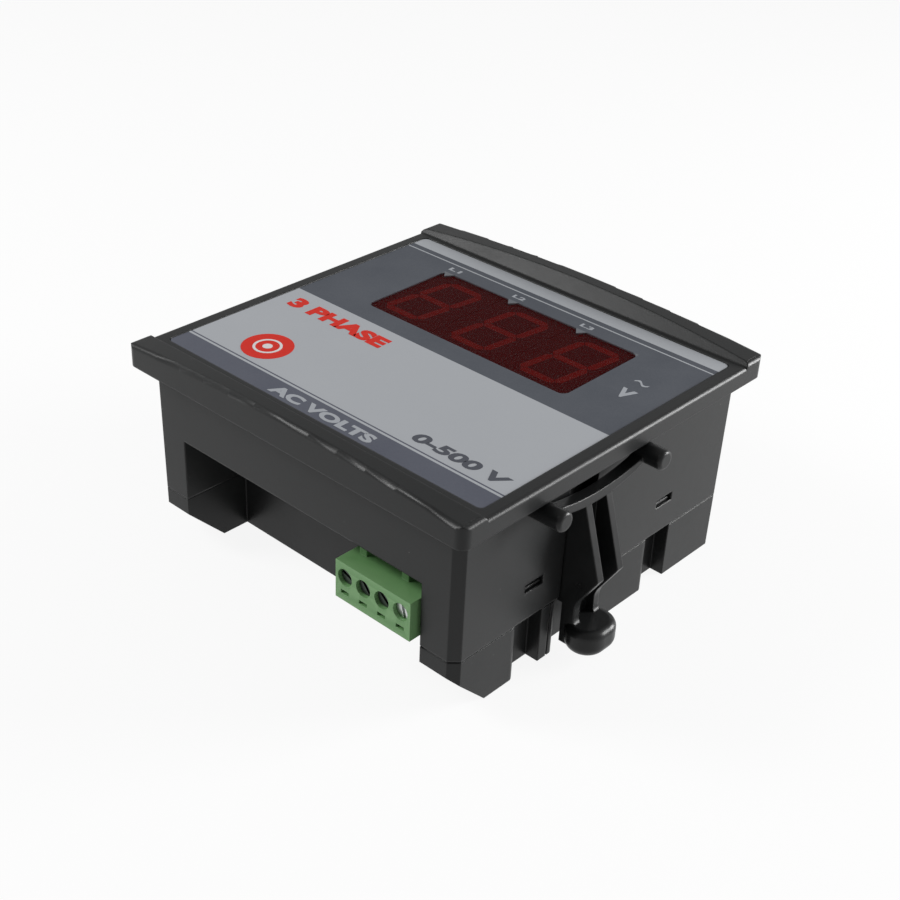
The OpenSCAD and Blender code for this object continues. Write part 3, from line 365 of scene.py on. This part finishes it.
segment_red = Finish("segment_red", Specular_IOR_Level=0.03)
resin = segment_red.noise(0.0012, 3.0)
segment_red.set(segment_red.shader.inputs["Base Color"],
                segment_red.blend(resin, (0.150, 0.0060, 0.0050), (0.215, 0.0110, 0.0080)))
segment_red.set(segment_red.shader.inputs["Roughness"], 0.45 + 0.15 * resin)
segment_red.relief(resin, 0.00001)
dress(segment_red, "segments_1", "segments_2", "segments_3")


# Both boards are green glass epoxy, and everything that is soldered to them sits inside the closed case.
# The key under the overlay's red disc is a small black switch with a round plunger.
def epoxy_board(name):
    """Solder mask over copper: a mottled green, darker between tracks that run square to each other."""
    finish = Finish(name, Specular_IOR_Level=0.5)
    track_pitch = 0.00254
    track_gap = 0.0016
    lanes = [finish.along(axis).repeat(track_pitch).beyond(track_gap) for axis in "XY"]
    patches = finish.noise(0.006, 2.0).beyond(0.5, 0.02)
    tracks = lanes[0] * patches + lanes[1] * (1 - patches)
    mask = finish.blend(tracks, (0.010, 0.085, 0.030), (0.022, 0.150, 0.050))
    finish.set(finish.shader.inputs["Base Color"], mask)
    finish.set(finish.shader.inputs["Roughness"], 0.32 + 0.15 * finish.noise(0.003))
    finish.relief(tracks, 0.00003)
    return finish


board_green = epoxy_board("board_green")
dress(board_green, "display_board", "main_board")
small_black = moulded("small_black", (0.010, 0.010, 0.011), (0.018, 0.018, 0.019),
                      rough=0.45, grain=0.0003, depth=0.00001, edge=0.0001)
dress(small_black, "controller_chip", "key_switch", "key_plunger", "link_strips")


# The pluggable terminal block: its socket is soldered to the display board, and the plug slides up into it.
# Both are green polyamide with sharp moulded edges, matt, and paler where the light catches a corner.
def green_polyamide(name):
    """Satin green nylon with flow marks, and a painted highlight that makes the sharp corners paler."""
    finish = Finish(name, Specular_IOR_Level=0.45)
    flow = finish.noise(0.004, 4.0)
    fine = finish.noise(0.0004, 2.0)
    # Painted highlight: where the mesh is pointy, at the sharp corners, the green is mixed towards a paler green.
    painted_corner_highlight = Value(finish, finish.add("ShaderNodeNewGeometry").outputs["Pointiness"]).beyond(0.56, 0.08)
    body = finish.blend(flow, (0.110, 0.255, 0.092), (0.145, 0.305, 0.118))
    finish.set(finish.shader.inputs["Base Color"], finish.blend(painted_corner_highlight * 0.35, body, (0.26, 0.46, 0.22)))
    finish.set(finish.shader.inputs["Roughness"], 0.42 + 0.14 * (flow - 0.5) + 0.08 * fine)
    finish.relief(fine, 0.000012, 0.00016)
    return finish


terminal_green = green_polyamide("terminal_green")
dress(terminal_green, "terminal_header", "terminal_plug")


# The metal of the terminals: zinc-plated slotted screws, rising cages of nickel-plated brass,
# and tinned spring contacts that grip the socket's square pins.
def plated(name, colour, dull, rough):
    """Plated metal with fine turning and rolling scratches and a few dull patches."""
    finish = Finish(name, Metallic=1.0)
    blotch = finish.noise(0.0016, 4.0)
    scratch = finish.noise(0.00012, 2.0)
    finish.set(finish.shader.inputs["Base Color"], finish.blend(blotch, colour, dull))
    finish.set(finish.shader.inputs["Roughness"], rough + 0.18 * (blotch - 0.5) + 0.12 * (scratch - 0.5))
    finish.relief(scratch, 0.000006, 0.00012)
    return finish


zinc_plate = plated("zinc_plate", (0.74, 0.75, 0.75), (0.52, 0.53, 0.54), 0.30)
nickel_brass = plated("nickel_brass", (0.70, 0.64, 0.50), (0.52, 0.46, 0.33), 0.34)
tinned = plated("tinned", (0.72, 0.70, 0.66), (0.55, 0.53, 0.49), 0.36)
# Painted shade: screws 1 to 3 get a dark greenish zinc, darker than screw 4's bright zinc.
zinc_in_painted_shade = plated("zinc_in_painted_shade", (0.105, 0.125, 0.110), (0.050, 0.062, 0.052), 0.42)
for number in range(1, 5):
    dress(zinc_in_painted_shade if number < 4 else zinc_plate, f"terminal_screw_{number}")
    dress(nickel_brass, f"wire_clamp_{number}")
dress(nickel_brass, "plug_contacts")
dress(tinned, "header_pins", "link_pins")
dress(zinc_plate, "board_screws")


# The supply on the main board: a transformer with a stacked steel core and a taped winding,
# a capacitor in a blue sleeve, a lacquered varistor and three input resistors with colour rings.
core_steel = Finish("core_steel", Metallic=1.0)
sheet_pitch = 0.0005
sheet_thickness = 0.00035
sheets = core_steel.along("Y").repeat(sheet_pitch).beyond(sheet_thickness, 0.0001)
stacked = core_steel.blend(sheets, (0.26, 0.27, 0.29), (0.10, 0.10, 0.11))
core_steel.set(core_steel.shader.inputs["Base Color"], stacked)
core_steel.set(core_steel.shader.inputs["Roughness"], 0.40 + 0.2 * core_steel.noise(0.002))
core_steel.relief(1 - sheets, 0.00004)
dress(core_steel, "transformer_core")

tape = Finish("winding_tape", Specular_IOR_Level=0.5)
wrinkle = tape.noise(0.0012, 4.0)
tape.set(tape.shader.inputs["Base Color"], tape.blend(wrinkle, (0.52, 0.30, 0.05), (0.66, 0.42, 0.10)))
tape.set(tape.shader.inputs["Roughness"], 0.22 + 0.25 * wrinkle)
tape.relief(wrinkle, 0.00005)
dress(tape, "transformer_coil")

sleeve_blue = moulded("sleeve_blue", (0.012, 0.022, 0.075), (0.018, 0.032, 0.100),
                      rough=0.28, grain=0.0008, depth=0.00002, edge=0.0)
dress(sleeve_blue, "capacitor")
lacquer_blue = moulded("lacquer_blue", (0.020, 0.080, 0.260), (0.030, 0.105, 0.320),
                       rough=0.30, grain=0.0012, depth=0.00006, edge=0.0)
dress(lacquer_blue, "varistor")

resistor_coat = Finish("resistor_coat", Specular_IOR_Level=0.5)
ring_pitch = 0.0016
ring_gap = 0.0010
ringed_middle = -0.012
ringed_half = 0.0026
along = resistor_coat.along("Y")
rings = along.repeat(ring_pitch).beyond(ring_gap) * (1 - (along - ringed_middle).abs().beyond(ringed_half))
resistor_coat.set(resistor_coat.shader.inputs["Base Color"],
                  resistor_coat.blend(rings, (0.17, 0.34, 0.40), (0.30, 0.10, 0.02)))
resistor_coat.set(resistor_coat.shader.inputs["Roughness"], 0.30 + 0.15 * resistor_coat.noise(0.001))
resistor_coat.relief(resistor_coat.noise(0.0008), 0.00002)
dress(resistor_coat, "input_resistors")


# The two mounting clips are tougher black polyamide, so they are a little shinier than the case.
# They slide up the T slots in the sides until their pegs press on the back of the panel.
# Painted shade: the clips' black is darker than the case's, standing in for the shade on the sides of their ribs.
clip_black_painted_shade = moulded("clip_black_painted_shade", (0.0090, 0.0094, 0.0096), (0.0130, 0.0135, 0.0138),
                     rough=0.32, grain=0.0005, depth=0.000012, edge=0.00040, level=0.24, dust=0.30)
dress(clip_black_painted_shade, "clip_right", "clip_left")


# The floor and the backdrop are one pale sheet, and the lamps are large soft boxes.
floor_size = 3.0
floor_mesh = bpy.data.meshes.new("floor")
floor_mesh.from_pydata([(-floor_size, -floor_size, 0), (floor_size, -floor_size, 0),
                        (floor_size, floor_size, 0), (-floor_size, floor_size, 0)], [], [(0, 1, 2, 3)])
floor = bpy.data.objects.new("floor", floor_mesh)
bpy.context.scene.collection.objects.link(floor)
pale_floor = Finish("pale_floor", Base_Color=(0.80, 0.80, 0.80, 1.0), Roughness=0.9, Specular_IOR_Level=0.0)


def seen_directly(finish):
    """1 for what the camera, a reflection or clear material sees, and 0 for light on its way to the object."""
    rays = finish.add("ShaderNodeLightPath").outputs
    seen = Value(finish, rays["Is Camera Ray"])
    seen = seen.math("MAXIMUM", seen, Value(finish, rays["Is Glossy Ray"]))
    return seen.math("MAXIMUM", seen, Value(finish, rays["Is Transmission Ray"]))


white = pale_floor.add("ShaderNodeEmission", {}, (1.0, 1.0, 1.0), 1.0)
glow_share = seen_directly(pale_floor) * 0.9
mix = pale_floor.add("ShaderNodeMixShader", {}, glow_share, pale_floor.shader.outputs[0], white.outputs[0])
pale_floor.tree.links.new(mix.outputs[0], pale_floor.tree.nodes["Material Output"].inputs["Surface"])
floor_mesh.materials.append(pale_floor.material)

world = bpy.data.worlds.new("studio")
bpy.context.scene.world = world
world.use_nodes = True
sky = world.node_tree
rays = sky.nodes.new("ShaderNodeLightPath").outputs


def sky_math(operation, first, second):
    """The result of a Math node of the world, between links or numbers."""
    node = sky.nodes.new("ShaderNodeMath")
    node.operation = operation
    for socket, value in zip(node.inputs, (first, second)):
        if isinstance(value, bpy.types.NodeSocket):
            sky.links.new(value, socket)
        else:
            socket.default_value = value
    return node.outputs[0]


brightness = 0.22
for kind, strength in (("Is Camera Ray", 1.0), ("Is Glossy Ray", 0.5), ("Is Transmission Ray", 1.0)):
    brightness = sky_math("MAXIMUM", brightness, sky_math("MULTIPLY", rays[kind], strength))
background = sky.nodes["Background"]
background.inputs["Color"].default_value = (1.0, 1.0, 1.0, 1.0)
sky.links.new(brightness, background.inputs["Strength"])


def soft_box(name, place, target, width, power):
    """A square area lamp that faces the target."""
    lamp = bpy.data.lights.new(name, "AREA")
    lamp.shape = "SQUARE"
    lamp.size = width
    lamp.energy = power
    holder = bpy.data.objects.new(name, lamp)
    turn = (Vector(target) - Vector(place)).to_track_quat("-Z", "Y")
    holder.matrix_world = Matrix.Translation(place) @ turn.to_matrix().to_4x4()
    bpy.context.scene.collection.objects.link(holder)


middle = (Vector(cad_low) + Vector(cad_high)) / 2
soft_box("right_back", (0.37, 0.44, 0.16), middle, 0.25, 5.6)
soft_box("left_front", (-0.42, -0.36, 0.46), middle, 0.22, 3.3)


# The camera looks down at the middle of the meter from the right of its bottom edge, tipped a little.
camera_turn = np.radians(41.41)
camera_drop = np.radians(31.57)
camera_tip = np.radians(2.745)
camera_distance = 0.3348
level_reach = np.cos(camera_drop)
sight = Vector((-np.sin(camera_turn) * level_reach, np.cos(camera_turn) * level_reach, -np.sin(camera_drop)))
camera = bpy.data.objects.new("camera", bpy.data.cameras.new("camera"))
camera.data.lens = 60.63
camera.data.sensor_width = 36.0
camera.data.clip_start = 0.01
aim = Vector((0.0010, 0.0006, 0.0236))
camera.matrix_world = (Matrix.Translation(aim - camera_distance * sight)
                       @ sight.to_track_quat("-Z", "Y").to_matrix().to_4x4() @ Matrix.Rotation(camera_tip, 4, "Z"))
bpy.context.scene.collection.objects.link(camera)
bpy.context.scene.camera = camera
bpy.context.scene.view_settings.view_transform = "Standard"
